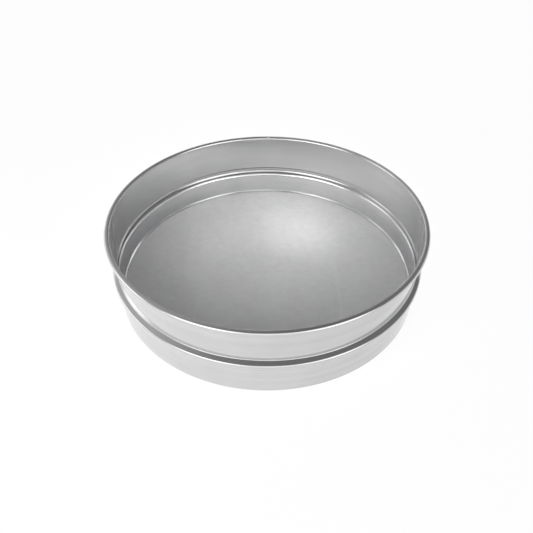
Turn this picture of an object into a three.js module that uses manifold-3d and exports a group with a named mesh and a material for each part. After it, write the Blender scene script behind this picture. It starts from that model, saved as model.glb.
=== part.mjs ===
// Round stainless-steel drum sieve: a spun sheet wall with a wired rim and a pressed-out shoulder,
// and fine wire cloth clamped between two rings just above the foot.
// Millimetres, +Z up. The origin is the centre of the circle that the foot stands on.
import * as THREE from "three";
import { mergeVertices } from "three/addons/utils/BufferGeometryUtils.js";
import Module from "manifold-3d";

// Overall sizes: the rim's width, and the heights below and above the shoulder's edge
const RIM_DIAMETER = 300;
const LOWER_HEIGHT = 35.5;
const UPPER_HEIGHT = 40.6;

// Sheet of the wall, and the rim rolled from it round a wire
const SHEET = 0.8;
const RIM_BEAD = 5.2;
const CURL_GAP = 0.4;

// Upper wall, narrower at the shoulder than at the rim
const UPPER_TAPER = 1.2;

// Shoulder pressed out of the wall, with slopes from the level and from the upright, and inside bends
const SHOULDER_REACH = 4.5;
const SHOULDER_FACE = 4.2;
const SHOULDER_SLOPE = 32;
const SHOULDER_BEND = 2.4;
const SHOULDER_FOOT_BEND = 3;
const UNDERCUT_REACH = 3.3;
const UNDERCUT_SLOPE = 45;
const UNDERCUT_BEND = 5.4;
const UNDERCUT_FOOT_BEND = 2.4;

// Turned-in foot of the lower wall
const FOOT_LIP = 0.6;
const FOOT_BEND = 0.6;

// Cloth, as a grid of bars far coarser than its wires, and the two rings that clamp it
const CLOTH_THICKNESS = 0.4;
const GRID_PITCH = 23.4;
const GRID_BAR = 12;
const RING_THICKNESS = 1.8;
const RING_LIP_BEND = 5.5;
const RING_TOE = 1.2;
const RING_TOE_HEIGHT = 1;
const RING_TOE_FILLET = 0.8;
const SUPPORT_HEIGHT = 3.8;
const RETAINER_PROUD = 2;
const SEAT_GAP = 0.3;

// Facets round the axis, and the turn that one facet of a small arc makes
const SEGMENTS = 64;
const ARC_STEP = 30;

// Radii of the sheet's middle line, and the heights where it turns
const HALF_SHEET = SHEET / 2;
const curlRadius = RIM_BEAD / 2 - HALF_SHEET;
const curlCentreRadius = RIM_DIAMETER / 2 - RIM_BEAD / 2;
const curlCentreHeight = LOWER_HEIGHT + UPPER_HEIGHT - RIM_BEAD / 2;
const upperRadius = curlCentreRadius - curlRadius;
const shoulderBore = upperRadius - UPPER_TAPER;
const shoulderRadius = shoulderBore + SHOULDER_REACH;
const lowerRadius = shoulderRadius - UNDERCUT_REACH;
const { degToRad, radToDeg } = THREE.MathUtils;
const shoulderFoot = LOWER_HEIGHT + SHOULDER_REACH * Math.tan(degToRad(SHOULDER_SLOPE));
const undercutTop = LOWER_HEIGHT - SHOULDER_FACE;
const undercutFoot = undercutTop - UNDERCUT_REACH / Math.tan(degToRad(UNDERCUT_SLOPE));

// Radii and heights of the clamp, stacked up from the foot flange
const clampRadius = lowerRadius - HALF_SHEET - SEAT_GAP;
const ringBore = clampRadius - RING_THICKNESS;
const toeRadius = ringBore - RING_TOE;
const supportBase = SHEET + SEAT_GAP;
const clothBase = supportBase + SUPPORT_HEIGHT + SEAT_GAP;
const retainerBase = clothBase + CLOTH_THICKNESS + SEAT_GAP;
const retainerHeight = undercutFoot + RETAINER_PROUD - retainerBase;

// Points on an arc from one angle to another, both ends included
function arc(centre, radius, from, to) {
  const steps = Math.max(1, Math.round(Math.abs(to - from) / ARC_STEP));
  return Array.from({ length: steps + 1 }, (_, step) => {
    const angle = degToRad(from + ((to - from) * step) / steps);
    return new THREE.Vector2(Math.cos(angle), Math.sin(angle)).multiplyScalar(radius).add(centre);
  });
}

// A bend of the given radius where a path turns at a corner between two neighbours
function bend(before, corner, after, radius) {
  const arriving = corner.clone().sub(before).normalize();
  const leaving = after.clone().sub(corner).normalize();
  const turn = Math.atan2(arriving.cross(leaving), arriving.dot(leaving));
  const tangent = radius * Math.tan(Math.abs(turn) / 2);
  const side = Math.sign(turn);
  const start = corner.clone().addScaledVector(arriving, -tangent);
  const inward = new THREE.Vector2(-arriving.y, arriving.x).multiplyScalar(side);
  const centre = start.clone().addScaledVector(inward, radius);
  const first = radToDeg(Math.atan2(-inward.y, -inward.x));
  return arc(centre, radius, first, first + radToDeg(turn));
}

// A sheet's middle line through corners [radius, height, inside bend], with no bend at the two ends
function sheetPath(corners) {
  const points = corners.map(([radius, height]) => new THREE.Vector2(radius, height));
  return corners.flatMap(([, , inside], at) =>
    inside === undefined
      ? [points[at]]
      : bend(points[at - 1], points[at], points[at + 1], inside + HALF_SHEET),
  );
}

// The closed outline of a sheet whose middle line is the path
function sheetOutline(middle) {
  const normals = middle.map((point, at) => {
    const before = middle[Math.max(at - 1, 0)];
    const after = middle[Math.min(at + 1, middle.length - 1)];
    const arriving = point.equals(before) ? after.clone().sub(point) : point.clone().sub(before);
    const leaving = point.equals(after) ? arriving.clone() : after.clone().sub(point);
    const mitre = arriving.normalize().add(leaving.normalize());
    const stretch = 2 / mitre.lengthSq();
    return new THREE.Vector2(mitre.y, -mitre.x).multiplyScalar(stretch);
  });
  const side = (sign) =>
    middle.map((point, at) => point.clone().addScaledVector(normals[at], sign * HALF_SHEET));
  return [...side(1), ...side(-1).reverse()];
}

// A closed outline of (radius, height) points turned round the Z axis
function hoop(outline) {
  return new THREE.LatheGeometry([...outline, outline[0]], SEGMENTS).rotateX(Math.PI / 2);
}

const sieve = new THREE.Group();

// Each piece is a named mesh in its own metal
function addPiece(name, geometry, color, roughness) {
  const material = new THREE.MeshStandardMaterial({ color, roughness, metalness: 1 });
  const piece = new THREE.Mesh(geometry, material);
  piece.name = name;
  sieve.add(piece);
  return piece;
}

// Wall: foot flange, lower wall, shoulder, upper wall and rim in one spun sheet
const curlCentre = new THREE.Vector2(curlCentreRadius, curlCentreHeight);
const curlEnd = -180 + radToDeg(Math.acos(1 - (SHEET + CURL_GAP) / (RIM_BEAD / 2)));
const wallPath = [
  ...sheetPath([
    [ringBore - FOOT_LIP, HALF_SHEET],
    [lowerRadius, HALF_SHEET, FOOT_BEND],
    [lowerRadius, undercutFoot, UNDERCUT_FOOT_BEND],
    [shoulderRadius, undercutTop, UNDERCUT_BEND],
    [shoulderRadius, LOWER_HEIGHT, SHOULDER_BEND],
    [shoulderBore, shoulderFoot, SHOULDER_FOOT_BEND],
    [upperRadius, curlCentreHeight],
  ]).slice(0, -1),
  ...arc(curlCentre, curlRadius, 180, curlEnd),
];
addPiece("frame_wall", hoop(sheetOutline(wallPath)), 0xc4c6c8, 0.28);

// Wire hoop that the rim is rolled round
const wireRadius = curlRadius - HALF_SHEET - SEAT_GAP;
const wireSection = arc(curlCentre, wireRadius, 0, 360).slice(0, -1);
addPiece("rim_wire", hoop(wireSection), 0x9a9c9e, 0.45);

// Clamp ring whose toe lies on the cloth at height 0, with its far edge given as points
function clampOutline(farEdge) {
  const toeCorner = new THREE.Vector2(ringBore, RING_TOE_HEIGHT);
  const toeTip = new THREE.Vector2(toeRadius, RING_TOE_HEIGHT);
  const fillet = Math.min(RING_TOE_FILLET, RING_TOE);
  return [
    new THREE.Vector2(toeRadius, 0),
    new THREE.Vector2(clampRadius, 0),
    ...farEdge,
    ...bend(farEdge.at(-1), toeCorner, toeTip, fillet),
    toeTip,
  ];
}

// Ring above the cloth, whose bore flares out to its top edge at the groove's lower lip
const lipBend = Math.max(RING_LIP_BEND, RING_THICKNESS);
const lipTurn = Math.acos(1 - RING_THICKNESS / lipBend);
const lipCentre = new THREE.Vector2(ringBore + lipBend, retainerHeight - lipBend * Math.sin(lipTurn));
const retainerOutline = clampOutline(arc(lipCentre, lipBend, 180 - radToDeg(lipTurn), 180));
const retainingRing = addPiece("retaining_ring", hoop(retainerOutline), 0xbfc1c3, 0.25);
retainingRing.position.z = retainerBase;

// Ring under the cloth, turned over so that it stands in the bend of the foot
const heelRadius = FOOT_BEND - SEAT_GAP;
const heelCentre = new THREE.Vector2(clampRadius - heelRadius, SUPPORT_HEIGHT - heelRadius);
const supportOutline = clampOutline([
  ...arc(heelCentre, heelRadius, 0, 90),
  new THREE.Vector2(ringBore, SUPPORT_HEIGHT),
]);
const supportRing = addPiece("support_ring", hoop(supportOutline), 0xb4b6b8, 0.35);
supportRing.rotation.x = Math.PI;
supportRing.position.z = supportBase + SUPPORT_HEIGHT;

// A closed geometry as a solid that can be cut
const wasm = await Module();
wasm.setup();
function toSolid(geometry) {
  geometry.deleteAttribute("normal");
  geometry.deleteAttribute("uv");
  const merged = mergeVertices(geometry);
  const vertProperties = Float32Array.from(merged.getAttribute("position").array);
  const triVerts = Uint32Array.from(merged.index.array);
  return new wasm.Manifold(new wasm.Mesh({ numProp: 3, vertProperties, triVerts }));
}

// A cut solid as a geometry again
function toGeometry(solid) {
  const { vertProperties, triVerts } = solid.getMesh();
  const geometry = new THREE.BufferGeometry();
  geometry.setAttribute("position", new THREE.BufferAttribute(vertProperties, 3));
  geometry.setIndex(new THREE.BufferAttribute(triVerts, 1));
  geometry.computeVertexNormals();
  return geometry;
}

// A flat disc on the Z axis, centred at height 0
function disc(radius, thickness) {
  return toSolid(new THREE.CylinderGeometry(radius, radius, thickness, SEGMENTS).rotateX(Math.PI / 2));
}

// Cloth stretched flat between the rings, with its openings kept one bar clear of the toes
const clearRadius = toeRadius - GRID_BAR;
const clearDisc = disc(clearRadius, 2 * CLOTH_THICKNESS);
const openingSize = GRID_PITCH - GRID_BAR;
const rows = Math.ceil(clearRadius / GRID_PITCH);
let clothSolid = disc(clampRadius, CLOTH_THICKNESS);
for (let column = -rows; column < rows; column += 1) {
  for (let row = -rows; row < rows; row += 1) {
    const centre = new THREE.Vector2(column + 0.5, row + 0.5).multiplyScalar(GRID_PITCH);
    if (centre.length() < clearRadius) {
      const opening = new THREE.BoxGeometry(openingSize, openingSize, 2 * CLOTH_THICKNESS);
      const cut = toSolid(opening.translate(centre.x, centre.y, 0)).intersect(clearDisc);
      clothSolid = clothSolid.subtract(cut);
    }
  }
}
const meshCloth = addPiece("mesh_cloth", toGeometry(clothSolid), 0xa9abad, 0.5);
meshCloth.position.z = clothBase + CLOTH_THICKNESS / 2;

export default sieve;
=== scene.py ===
import math

import bpy
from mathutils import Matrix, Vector, noise


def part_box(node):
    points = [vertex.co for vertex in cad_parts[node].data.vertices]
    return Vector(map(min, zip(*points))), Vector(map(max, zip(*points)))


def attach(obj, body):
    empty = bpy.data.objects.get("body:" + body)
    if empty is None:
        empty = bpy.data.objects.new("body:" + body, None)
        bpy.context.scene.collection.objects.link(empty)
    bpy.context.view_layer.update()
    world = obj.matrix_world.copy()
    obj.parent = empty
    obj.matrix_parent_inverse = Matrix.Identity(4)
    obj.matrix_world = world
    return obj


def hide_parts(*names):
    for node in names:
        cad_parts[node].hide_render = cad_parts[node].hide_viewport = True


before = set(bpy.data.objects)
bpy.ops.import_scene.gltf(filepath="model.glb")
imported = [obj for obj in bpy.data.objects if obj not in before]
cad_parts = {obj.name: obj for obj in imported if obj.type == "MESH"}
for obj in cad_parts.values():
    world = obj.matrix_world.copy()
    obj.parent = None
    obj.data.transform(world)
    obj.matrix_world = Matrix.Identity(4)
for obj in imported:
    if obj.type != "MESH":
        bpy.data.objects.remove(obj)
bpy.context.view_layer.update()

# Frame wall: one band of stainless sheet, rolled to a hoop and spun to shape on a lathe.
# Its top is curled round a wire, a shoulder is pressed out half-way down, and its foot is turned in.
# The curl's two ends meet in a butt joint, and the lathe leaves fine polishing lines round the sheet.
MM = 0.001
RIM_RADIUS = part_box("frame_wall")[1].x
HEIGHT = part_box("frame_wall")[1].z
SHEET = 0.8 * MM
RIM_BEAD = 5.2 * MM
CURL_GAP = 0.4 * MM
UPPER_TAPER = 1.2 * MM
SHOULDER_HEIGHT = 35.5 * MM
SHOULDER_REACH = 4.5 * MM
SHOULDER_FACE = 4.2 * MM
SHOULDER_SLOPE = math.radians(32)
SHOULDER_BEND = 1.2 * MM
SHOULDER_FOOT_BEND = 0.8 * MM
UNDERCUT_SLOPE = math.radians(45)
UNDERCUT_BEND = 5.4 * MM
UNDERCUT_REACH = 3.3 * MM
UNDERCUT_FOOT_BEND = 2.4 * MM
FOOT_BEND = 0.6 * MM
FOOT_FLANGE = 3.5 * MM
TURNS = 320
ARC_STEP = math.radians(9)
WALL_STEP = 2.0 * MM
JOINT_AZIMUTH = math.radians(189)
JOINT_WIDTH = 0.45 * MM
JOINT_DEPTH = 0.5 * MM
JOINT_MISFIT = 0.3 * MM
JOINT_FADE = 9 * MM
JOINT_STEP = JOINT_WIDTH / 4
JOINT_STEPS = 10
JOINT_REACH = 3 * JOINT_WIDTH
SHARP_ANGLE = math.radians(40)
WALL_WAVE = 0.04 * MM
WALL_WAVE_LENGTH = 70 * MM

half_sheet = SHEET / 2
curl_radius = RIM_BEAD / 2 - half_sheet
curl_centre = Vector((RIM_RADIUS - RIM_BEAD / 2, HEIGHT - RIM_BEAD / 2))
upper_radius = curl_centre.x - curl_radius
shoulder_bore = upper_radius - UPPER_TAPER
shoulder_radius = shoulder_bore + SHOULDER_REACH
lower_radius = shoulder_radius - UNDERCUT_REACH
shoulder_foot = SHOULDER_HEIGHT + SHOULDER_REACH * math.tan(SHOULDER_SLOPE)
undercut_top = SHOULDER_HEIGHT - SHOULDER_FACE
undercut_foot = undercut_top - UNDERCUT_REACH / math.tan(UNDERCUT_SLOPE)


# Points on an arc from one angle to another, both ends included
def arc(centre, radius, start, end):
    steps = max(1, round(abs(end - start) / ARC_STEP))
    angles = [start + (end - start) * step / steps for step in range(steps + 1)]
    return [centre + radius * Vector((math.cos(a), math.sin(a))) for a in angles]


# A bend of the given radius where a path turns at a corner
def bend(before, corner, after, radius):
    arriving = (corner - before).normalized()
    leaving = (after - corner).normalized()
    turn = math.atan2(arriving.cross(leaving), arriving.dot(leaving))
    inward = Vector((-arriving.y, arriving.x)) * math.copysign(1, turn)
    start = corner - arriving * radius * math.tan(abs(turn) / 2)
    first = math.atan2(-inward.y, -inward.x)
    return arc(start + inward * radius, radius, first, first + turn)


# A path with its long straights cut into short steps
def fill_straights(points, step):
    filled = [points[0]]
    for last, point in zip(points, points[1:]):
        parts = max(1, round((point - last).length / step))
        filled += [last.lerp(point, part / parts) for part in range(1, parts + 1)]
    return filled


# The closed outline of a sheet whose middle line is given
def sheet_outline(middle):
    sides = {1: [], -1: []}
    for at, point in enumerate(middle):
        arriving = (point - middle[at - 1]).normalized() if at else None
        leaving = (middle[at + 1] - point).normalized() if at + 1 < len(middle) else arriving
        mitre = (arriving or leaving) + leaving
        outward = Vector((mitre.y, -mitre.x)) * 2 / mitre.length_squared
        for sign, side in sides.items():
            side.append(point + outward * sign * half_sheet)
    return sides[1] + sides[-1][::-1]


# A closed outline of (radius, height) points turned round the sieve's axis
def turned(name, outline, azimuths):
    verts = [(p.x * math.cos(a), p.x * math.sin(a), p.y) for a in azimuths for p in outline]
    ring, turns = len(outline), len(azimuths)
    faces = []
    for turn in range(turns):
        here, there = turn * ring, (turn + 1) % turns * ring
        for at in range(ring):
            after = (at + 1) % ring
            faces.append((here + at, there + at, there + after, here + after))
    mesh = bpy.data.meshes.new(name)
    mesh.from_pydata(verts, [], faces)
    mesh.shade_smooth()
    mesh.set_sharp_from_angle(angle=SHARP_ANGLE)
    piece = bpy.data.objects.new(name, mesh)
    bpy.context.scene.collection.objects.link(piece)
    return piece


def link(tree, source, target):
    tree.links.new(source, target)


def math_node(tree, operation, first, second=None):
    node = tree.nodes.new("ShaderNodeMath")
    node.operation = operation
    for socket, value in zip(node.inputs, (first, second)):
        if isinstance(value, bpy.types.NodeSocket):
            link(tree, value, socket)
        elif value is not None:
            socket.default_value = value
    return node.outputs[0]


def map_range(tree, value, low, high, to_low, to_high):
    node = tree.nodes.new("ShaderNodeMapRange")
    link(tree, value, node.inputs["Value"])
    for socket, number in zip(node.inputs[1:5], (low, high, to_low, to_high)):
        socket.default_value = number
    return node.outputs[0]


def noise_texture(tree, vector, scale, detail):
    node = tree.nodes.new("ShaderNodeTexNoise")
    link(tree, vector, node.inputs["Vector"])
    node.inputs["Scale"].default_value = scale
    node.inputs["Detail"].default_value = detail
    return node.outputs["Fac"]


# A metal with its own share of mirror and satin
def new_metal(name, metallic):
    material = bpy.data.materials.new(name)
    material.use_nodes = True
    tree = material.node_tree
    shader = tree.nodes["Principled BSDF"]
    shader.inputs["Metallic"].default_value = metallic
    return material, tree, shader


def mix_colour(tree, amount, first, second):
    node = tree.nodes.new("ShaderNodeMix")
    node.data_type = "RGBA"
    link(tree, amount, node.inputs["Factor"])
    node.inputs["A"].default_value = (*first, 1)
    node.inputs["B"].default_value = (*second, 1)
    return node.outputs["Result"]


# Lathe-polished steel: fine lines round the axis and smudges of handling, with a painted reflection in
# wide bands round the axis
REFLECTION_BAND = 7 * MM
LINE_RUN = 9
LINE_DETAIL = 4
REFLECTION_BAND_DETAIL = 1
SMUDGE_SCALE = 28
SMUDGE_DETAIL = 3
TONE_SPAN = (0.7, 1.3)
LINE_STRENGTH = 0.25


def turned_metal(name, metallic, dark, light, roughness, line_width, line_depth):
    material, tree, shader = new_metal(name, metallic)
    place = tree.nodes.new("ShaderNodeTexCoord").outputs["Object"]
    split = tree.nodes.new("ShaderNodeSeparateXYZ")
    link(tree, place, split.inputs[0])
    x, y, z = split.outputs
    squares = math_node(tree, "ADD", math_node(tree, "POWER", x, 2), math_node(tree, "POWER", y, 2))
    radius = math_node(tree, "SQRT", squares)
    round_axis = tree.nodes.new("ShaderNodeCombineXYZ")
    link(tree, radius, round_axis.inputs[0])
    link(tree, z, round_axis.inputs[1])
    along = math_node(tree, "MULTIPLY", math_node(tree, "ARCTAN2", y, x), LINE_RUN * line_width)
    link(tree, along, round_axis.inputs[2])
    lines = noise_texture(tree, round_axis.outputs[0], 1 / line_width, LINE_DETAIL)
    # Painted reflection: wide soft bands of lighter and darker colour round the axis, mixed into the
    # colour with the handling smudges
    reflection_bands = noise_texture(tree, round_axis.outputs[0], 1 / REFLECTION_BAND, REFLECTION_BAND_DETAIL)
    smudges = noise_texture(tree, place, SMUDGE_SCALE, SMUDGE_DETAIL)
    tone = math_node(tree, "ADD", reflection_bands, smudges)
    shade = map_range(tree, tone, *TONE_SPAN, 0, 1)
    link(tree, mix_colour(tree, shade, dark, light), shader.inputs["Base Color"])
    worn = math_node(tree, "ADD", lines, smudges)
    link(tree, map_range(tree, worn, *TONE_SPAN, *roughness), shader.inputs["Roughness"])
    bump = tree.nodes.new("ShaderNodeBump")
    bump.inputs["Strength"].default_value = LINE_STRENGTH
    bump.inputs["Distance"].default_value = line_depth
    link(tree, lines, bump.inputs["Height"])
    link(tree, bump.outputs[0], shader.inputs["Normal"])
    return material


# A piece in its material, riding on the one body and standing for its CAD node
def dress(piece, node, material):
    piece.data.materials.append(material)
    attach(piece, "root")
    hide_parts(node)


corners = [
    (lower_radius + half_sheet - FOOT_FLANGE, half_sheet, None),
    (lower_radius, half_sheet, FOOT_BEND),
    (lower_radius, undercut_foot, UNDERCUT_FOOT_BEND),
    (shoulder_radius, undercut_top, UNDERCUT_BEND),
    (shoulder_radius, SHOULDER_HEIGHT, SHOULDER_BEND),
    (shoulder_bore, shoulder_foot, SHOULDER_FOOT_BEND),
    (upper_radius, curl_centre.y, None),
]
knots = [Vector(corner[:2]) for corner in corners]
wall_line = []
for at, (_, _, inside) in enumerate(corners):
    if inside is None:
        wall_line.append(knots[at])
    else:
        wall_line += bend(knots[at - 1], knots[at], knots[at + 1], inside + half_sheet)
curl_end = math.acos(1 - (SHEET + CURL_GAP) / (RIM_BEAD / 2)) - math.pi
wall_line = fill_straights(wall_line, WALL_STEP)[:-1] + arc(curl_centre, curl_radius, math.pi, curl_end)

even_turns = [math.tau * turn / TURNS for turn in range(TURNS)]
joint_steps = range(-JOINT_STEPS, JOINT_STEPS + 1)
joint_turns = [JOINT_AZIMUTH + JOINT_STEP * step / RIM_RADIUS for step in joint_steps]
clear_turns = [a for a in even_turns if abs(a - JOINT_AZIMUTH) > JOINT_REACH / RIM_RADIUS]
wall = turned("frame_wall_sheet", sheet_outline(wall_line), sorted(clear_turns + joint_turns))
for vert in wall.data.vertices:
    x, y, z = vert.co
    radius, azimuth = math.hypot(x, y), math.atan2(y, x) % math.tau
    outward = Vector((x, y, 0)) / radius
    wave = noise.noise(vert.co / WALL_WAVE_LENGTH) * WALL_WAVE
    vert.co += outward * wave
    from_curl = Vector((radius, z)) - curl_centre
    if from_curl.length > curl_radius and z > curl_centre.y - RIM_BEAD / 2 and from_curl.x > -curl_radius:
        along = (azimuth - JOINT_AZIMUTH) * RIM_RADIUS
        groove = JOINT_DEPTH * math.exp(-((along / JOINT_WIDTH * 2) ** 2))
        misfit = JOINT_MISFIT * math.copysign(math.exp(-abs(along) / JOINT_FADE), along) / 2
        lift = from_curl.normalized() * (misfit - groove)
        vert.co += outward * lift.x + Vector((0, 0, lift.y))
WALL_DARK = (0.545, 0.545, 0.547)
WALL_LIGHT = (0.59, 0.59, 0.592)
WALL_METALLIC = 0.9
WALL_ROUGHNESS = (0.07, 0.12)
WALL_LINES = (0.3 * MM, 0.004 * MM)
wall_metal = turned_metal(
    "polished_sheet", WALL_METALLIC, WALL_DARK, WALL_LIGHT, WALL_ROUGHNESS, *WALL_LINES
)
dress(wall, "frame_wall", wall_metal)

# Rim wire: a hoop of drawn steel wire inside the curled rim, which the sheet is closed round.
# It stiffens the rim and shows only through the narrow gap under the curl.
WIRE_CLEARANCE = 0.3 * MM
wire_section = arc(curl_centre, curl_radius - half_sheet - WIRE_CLEARANCE, 0, math.tau)[:-1]
rim_wire = turned("rim_wire_hoop", wire_section, even_turns)
WIRE_DARK = (0.3, 0.3, 0.31)
WIRE_LIGHT = (0.45, 0.45, 0.46)
WIRE_METALLIC = 1
WIRE_ROUGHNESS = (0.3, 0.45)
WIRE_LINES = (0.2 * MM, 0.01 * MM)
wire_metal = turned_metal("drawn_wire", WIRE_METALLIC, WIRE_DARK, WIRE_LIGHT, WIRE_ROUGHNESS, *WIRE_LINES)
dress(rim_wire, "rim_wire", wire_metal)

# Support ring: a hoop of stainless strip that stands in the bend of the foot, under the cloth.
# Its toe reaches in under the cloth's edge and gives the clamp its lower jaw.
RING_THICKNESS = 1.8 * MM
RING_TOE = 1.2 * MM
TOE_HEIGHT = 1.8 * MM
TOE_FILLET = 0.5 * MM
TOE_EDGE = 0.4 * MM
HEEL_RADIUS = 0.3 * MM


# A ring's section from the cloth to its far edge, with the toe sloping up from the cloth or down
def clamp_outline(radius, cloth_side, toe_up, far_edge):
    bore = radius - RING_THICKNESS
    toe_corner = Vector((bore, cloth_side + toe_up * TOE_HEIGHT))
    toe_edge = Vector((bore - RING_TOE, cloth_side + toe_up * TOE_EDGE))
    toe_bottom = Vector((bore - RING_TOE, cloth_side))
    heel = Vector((radius, cloth_side))
    return [
        toe_bottom,
        heel,
        *far_edge,
        *bend(far_edge[-1], toe_corner, toe_edge, TOE_FILLET),
        toe_edge,
    ]


support_low, support_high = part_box("support_ring")
heel_centre = Vector((support_high.x - HEEL_RADIUS, support_low.z + HEEL_RADIUS))
support_foot = [
    *arc(heel_centre, HEEL_RADIUS, 0, -math.pi / 2),
    Vector((support_high.x - RING_THICKNESS, support_low.z)),
]
support_outline = clamp_outline(support_high.x, support_high.z, -1, support_foot)
support = turned("support_ring_strip", support_outline[::-1], even_turns)
RING_DARK = (0.6, 0.6, 0.605)
RING_LIGHT = (0.68, 0.68, 0.685)
RING_METALLIC = 0.82
RING_ROUGHNESS = (0.09, 0.15)
RING_LINES = (0.3 * MM, 0.005 * MM)
ring_metal = turned_metal("ring_strip", RING_METALLIC, RING_DARK, RING_LIGHT, RING_ROUGHNESS, *RING_LINES)
dress(support, "support_ring", ring_metal)

# Wire cloth: fine stainless wire woven into cloth, rolled flat, cut to a disc and pulled taut.
# Its edge is clamped between the two rings, and handling has left it mottled; one faint crease is a
# painted highlight line in its colour, and broad soft buckles are painted shade.
# Here it is two flat layers of wires, one across the sieve and one from front to back.
WIRE_PITCH = 0.45 * MM
WIRE_WIDTH = 0.3 * MM
WIRE_FLAT = 0.2 * MM
cloth_low, cloth_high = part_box("mesh_cloth")
cloth_radius = cloth_high.x
half_wire = (cloth_high.z - cloth_low.z) / 4
wire_outline = [
    (WIRE_WIDTH / 2, 0),
    (WIRE_FLAT / 2, half_wire),
    (-WIRE_FLAT / 2, half_wire),
    (-WIRE_WIDTH / 2, 0),
    (-WIRE_FLAT / 2, -half_wire),
    (WIRE_FLAT / 2, -half_wire),
]


# All the wires of one layer, each cut off at the disc's edge
def wire_layer(height, across):
    verts, faces = [], []
    sides = len(wire_outline)
    count = int(cloth_radius / WIRE_PITCH)
    for number in range(-count, count + 1):
        offset = number * WIRE_PITCH
        reach = math.sqrt(cloth_radius ** 2 - offset ** 2)
        first = len(verts)
        for end in (-reach, reach):
            for beside, up in wire_outline:
                place = (end, offset + beside) if across else (offset + beside, -end)
                verts.append((*place, height + up))
        for side in range(sides):
            after = (side + 1) % sides
            near, far = first, first + sides
            faces.append((near + side, far + side, far + after, near + after))
        faces.append(tuple(range(first, first + sides)))
        faces.append(tuple(range(first + sides, first + 2 * sides))[::-1])
    return verts, faces


lower_verts, lower_faces = wire_layer(cloth_low.z + half_wire, True)
upper_verts, upper_faces = wire_layer(cloth_high.z - half_wire, False)
upper_faces = [tuple(at + len(lower_verts) for at in face) for face in upper_faces]
cloth_mesh = bpy.data.meshes.new("wire_cloth")
cloth_mesh.from_pydata(lower_verts + upper_verts, [], lower_faces + upper_faces)
cloth = bpy.data.objects.new("wire_cloth", cloth_mesh)
bpy.context.scene.collection.objects.link(cloth)

# Painted highlight: a thin lighter line down the cloth where a crease would catch the light, bowed by
# noise and faded out towards its ends
CREASE_PLACE = 63 * MM
CREASE_BOW = 12 * MM
CREASE_WIDTH = 2.2 * MM
CREASE_MIDDLE = -40 * MM
CREASE_HIGHLIGHT = 0.45
CREASE_BOW_SCALE = 12
CREASE_BOW_DETAIL = 1
CREASE_FADE = (0.25 * cloth_radius, 0.5 * cloth_radius)
BUCKLE_SHADE_SCALE = 16
MOTTLE_SCALE = 130
MOTTLE_DETAIL = 4
STREAK_SCALE = 450
STREAK_STRETCH = (0.4, 1, 1)
FINE_DETAIL = 2
CLOTH_TONE_SPAN = (1.1, 1.9)
CLOTH_ROUGHNESS = (0.42, 0.48)
CLOTH_METALLIC = 0.4
CLOTH_DARK = (0.465, 0.465, 0.465)
CLOTH_LIGHT = (0.545, 0.545, 0.545)
cloth_metal, cloth_tree, cloth_shader = new_metal("woven_wire", CLOTH_METALLIC)
cloth_place = cloth_tree.nodes.new("ShaderNodeTexCoord").outputs["Object"]
cloth_split = cloth_tree.nodes.new("ShaderNodeSeparateXYZ")
link(cloth_tree, cloth_place, cloth_split.inputs[0])
cloth_x, cloth_y, _ = cloth_split.outputs
along_wires = cloth_tree.nodes.new("ShaderNodeVectorMath")
along_wires.operation = "MULTIPLY"
link(cloth_tree, cloth_place, along_wires.inputs[0])
along_wires.inputs[1].default_value = STREAK_STRETCH
# Painted shade: broad soft blotches of darker and lighter colour standing in for buckles in the cloth
buckle_shade = noise_texture(cloth_tree, cloth_place, BUCKLE_SHADE_SCALE, FINE_DETAIL)
mottle = noise_texture(cloth_tree, cloth_place, MOTTLE_SCALE, MOTTLE_DETAIL)
streaks = noise_texture(cloth_tree, along_wires.outputs[0], STREAK_SCALE, FINE_DETAIL)
# The crease's painted highlight line, drawn in the cloth's colour from object coordinates
crease_sway = noise_texture(cloth_tree, cloth_place, CREASE_BOW_SCALE, CREASE_BOW_DETAIL)
crease_bow = math_node(cloth_tree, "MULTIPLY", crease_sway, CREASE_BOW)
crease_side = math_node(cloth_tree, "SUBTRACT", cloth_x, crease_bow)
crease_across = math_node(cloth_tree, "SUBTRACT", crease_side, CREASE_PLACE)
crease_away = math_node(cloth_tree, "ABSOLUTE", crease_across)
crease_highlight_across = map_range(cloth_tree, crease_away, 0, CREASE_WIDTH, CREASE_HIGHLIGHT, 0)
crease_along = math_node(cloth_tree, "SUBTRACT", cloth_y, CREASE_MIDDLE)
crease_reach = math_node(cloth_tree, "ABSOLUTE", crease_along)
crease_highlight_fade = map_range(cloth_tree, crease_reach, *CREASE_FADE, 1, 0)
crease_highlight = math_node(cloth_tree, "MULTIPLY", crease_highlight_across, crease_highlight_fade)
cloth_tone = math_node(cloth_tree, "ADD", math_node(cloth_tree, "ADD", buckle_shade, mottle), streaks)
cloth_tone = math_node(cloth_tree, "ADD", cloth_tone, crease_highlight)
cloth_share = map_range(cloth_tree, cloth_tone, *CLOTH_TONE_SPAN, 0, 1)
cloth_colour = mix_colour(cloth_tree, cloth_share, CLOTH_DARK, CLOTH_LIGHT)
link(cloth_tree, cloth_colour, cloth_shader.inputs["Base Color"])
cloth_roughness = map_range(cloth_tree, cloth_tone, *CLOTH_TONE_SPAN, *CLOTH_ROUGHNESS)
link(cloth_tree, cloth_roughness, cloth_shader.inputs["Roughness"])
dress(cloth, "mesh_cloth", cloth_metal)

# Retaining ring: a taller hoop of the same strip, pressed into the lower wall above the cloth.
# Its bore flares out to the lower lip of the shoulder's groove, and its toe presses the cloth.
LIP_BEND = 5.5 * MM
retainer_low, retainer_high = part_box("retaining_ring")
lip_turn = math.acos(1 - RING_THICKNESS / LIP_BEND)
lip_centre = Vector((
    retainer_high.x - RING_THICKNESS + LIP_BEND,
    retainer_high.z - LIP_BEND * math.sin(lip_turn),
))
retainer_lip = arc(lip_centre, LIP_BEND, math.pi - lip_turn, math.pi)
retainer_outline = clamp_outline(retainer_high.x, retainer_low.z, 1, retainer_lip)
retainer = turned("retaining_ring_strip", retainer_outline, even_turns)
dress(retainer, "retaining_ring", ring_metal)

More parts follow.
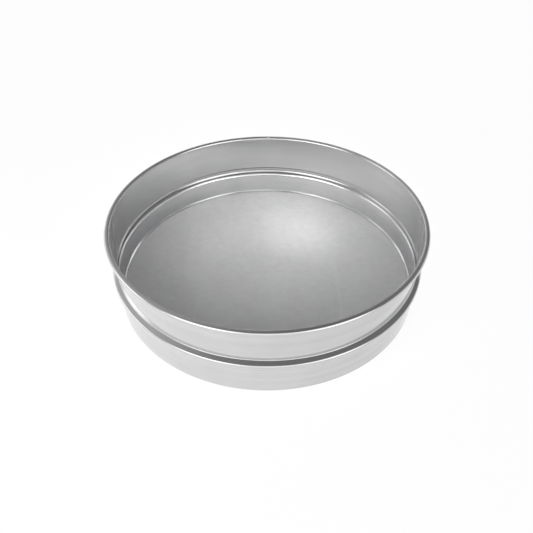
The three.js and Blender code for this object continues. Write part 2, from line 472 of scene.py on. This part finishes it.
# Floor: a plain white sheet of paper that the sieve stands on.
# It is near white to the camera and to the steel, and keeps the soft shadow under the sieve.
FLOOR_SPAN = 8
FLOOR_DROP = 0.1 * MM
FLOOR_GLOW = 0.95
FLOOR_COLOUR = (0.9, 0.9, 0.9, 1)
bpy.ops.mesh.primitive_plane_add(size=FLOOR_SPAN, location=(0, 0, -FLOOR_DROP))
floor = bpy.context.object
floor.name = "floor"
floor_material = bpy.data.materials.new("white_floor")
floor_material.use_nodes = True
floor_tree = floor_material.node_tree
floor_tree.nodes.remove(floor_tree.nodes["Principled BSDF"])
paper = floor_tree.nodes.new("ShaderNodeBsdfDiffuse")
paper.inputs["Color"].default_value = FLOOR_COLOUR
glow = floor_tree.nodes.new("ShaderNodeEmission")
rays = floor_tree.nodes.new("ShaderNodeLightPath").outputs
seen = math_node(floor_tree, "ADD", rays["Is Camera Ray"], rays["Is Glossy Ray"])
seen = math_node(floor_tree, "ADD", seen, rays["Is Transmission Ray"])
floor_mix = floor_tree.nodes.new("ShaderNodeMixShader")
glow_share = math_node(floor_tree, "MULTIPLY", math_node(floor_tree, "MINIMUM", seen, 1), FLOOR_GLOW)
link(floor_tree, glow_share, floor_mix.inputs[0])
link(floor_tree, paper.outputs[0], floor_mix.inputs[1])
link(floor_tree, glow.outputs[0], floor_mix.inputs[2])
link(floor_tree, floor_mix.outputs[0], floor_tree.nodes["Material Output"].inputs["Surface"])
floor.data.materials.append(floor_material)

# Studio: a grey room with a white cove, a dark ceiling and soft windows round the front and left.
# Four lamps light the steel's satin: a wash and a key at the front left, a sheen and a hot spot above.
# The backdrop that the camera sees past the floor is plain white.
ROOM_LIGHT = ((0.0, 1.0), (0.18, 1.0), (0.24, 0.18), (0.62, 0.17), (0.8, 0.12), (1.0, 0.07))
world = bpy.data.worlds.new("studio")
bpy.context.scene.world = world
world.use_nodes = True
room = world.node_tree
room_way = room.nodes.new("ShaderNodeTexCoord").outputs["Generated"]
room_split = room.nodes.new("ShaderNodeSeparateXYZ")
link(room, room_way, room_split.inputs[0])
ramp = room.nodes.new("ShaderNodeValToRGB")
link(room, room_split.outputs["Z"], ramp.inputs[0])
while len(ramp.color_ramp.elements) < len(ROOM_LIGHT):
    ramp.color_ramp.elements.new(1)
for element, (height, level) in zip(ramp.color_ramp.elements, ROOM_LIGHT):
    element.position = height
    element.color = (level, level, level, 1)


# The unit vector towards an azimuth and an elevation in degrees
def direction(azimuth, elevation):
    a, e = math.radians(azimuth), math.radians(elevation)
    return Vector((math.cos(a) * math.cos(e), math.sin(a) * math.cos(e), math.sin(e)))


# A round window in the room's wall: full level inside the pane, fading out at the edge, in degrees
def window(azimuth, elevation, pane, edge, level):
    facing = room.nodes.new("ShaderNodeVectorMath")
    facing.operation = "DOT_PRODUCT"
    link(room, room_way, facing.inputs[0])
    facing.inputs[1].default_value = direction(azimuth, elevation)
    bounds = math.cos(math.radians(edge)), math.cos(math.radians(pane))
    return map_range(room, facing.outputs["Value"], *bounds, 0, level)


WINDOWS = (
    (177, 10, 8, 19, 1.2),
    (231, 21, 13, 28, 2.1),
    (275, 22, 12, 29, 1.1),
    (315, 21, 9, 28, 1.9),
    (150, 30, 15, 60, 0.3),
)
room_level = ramp.outputs[0]
for window_row in WINDOWS:
    room_level = math_node(room, "ADD", room_level, window(*window_row))
room_rays = room.nodes.new("ShaderNodeLightPath").outputs
room_level = math_node(room, "MAXIMUM", room_level, room_rays["Is Camera Ray"])
link(room, room_level, room.nodes["Background"].inputs["Strength"])
room.nodes["Background"].inputs["Color"].default_value = (1, 1, 1, 1)


# A square lamp that lights the satin of the steel and isn't mirrored in its polish
def soft_lamp(name, azimuth, elevation, distance, width, watts, aim, spread):
    lamp = bpy.data.lights.new(name, "AREA")
    lamp.size = width
    lamp.energy = watts
    lamp.spread = math.radians(spread)
    holder = bpy.data.objects.new(name, lamp)
    place = direction(azimuth, elevation) * distance
    holder.location = aim + place
    holder.rotation_euler = (-place).to_track_quat("-Z", "Y").to_euler()
    holder.visible_glossy = False
    bpy.context.scene.collection.objects.link(holder)


WASH_AIM = Vector((0, 0, 60 * MM))
KEY_AIM = Vector((0, 0, 0))
SHEEN_AIM = Vector((10 * MM, 100 * MM, 0))
HOT_SPOT_AIM = Vector((36 * MM, 62 * MM, 0))
LAMPS = (
    ("wall_wash", 215, 7, 1.2, 0.3, 4.5, WASH_AIM, 90),
    ("key_lamp", 235, 32, 1.2, 0.6, 4.5, KEY_AIM, 180),
    ("cloth_sheen", 270, 78, 0.9, 0.2, 0.37, SHEEN_AIM, 28),
    ("cloth_hot_spot", 90, 75, 0.9, 0.05, 0.018, HOT_SPOT_AIM, 8),
)
for lamp_row in LAMPS:
    soft_lamp(*lamp_row)

# Camera: close in front of the sieve and above it, looking down at the cloth.
# It stands a hair to the left of the axis, with the lens that the photograph's perspective gives.
CAMERA_DISTANCE = 2.8 * RIM_RADIUS
CAMERA_RISE = 2.049 * RIM_RADIUS
CAMERA_SIDE = -0.6 * MM
CAMERA_PITCH = math.radians(41.49)
FOCAL_PIXELS = 551.5
FRAME_PIXELS = 533
SENSOR_WIDTH = 36
camera_data = bpy.data.cameras.new("camera")
camera_data.sensor_width = SENSOR_WIDTH
camera_data.lens = FOCAL_PIXELS / FRAME_PIXELS * SENSOR_WIDTH
camera = bpy.data.objects.new("camera", camera_data)
camera.location = (CAMERA_SIDE, -CAMERA_DISTANCE, curl_centre.y + CAMERA_RISE)
camera.rotation_euler = (math.pi / 2 - CAMERA_PITCH, 0, 0)
bpy.context.scene.collection.objects.link(camera)
bpy.context.scene.camera = camera
bpy.context.scene.view_settings.view_transform = "Standard"
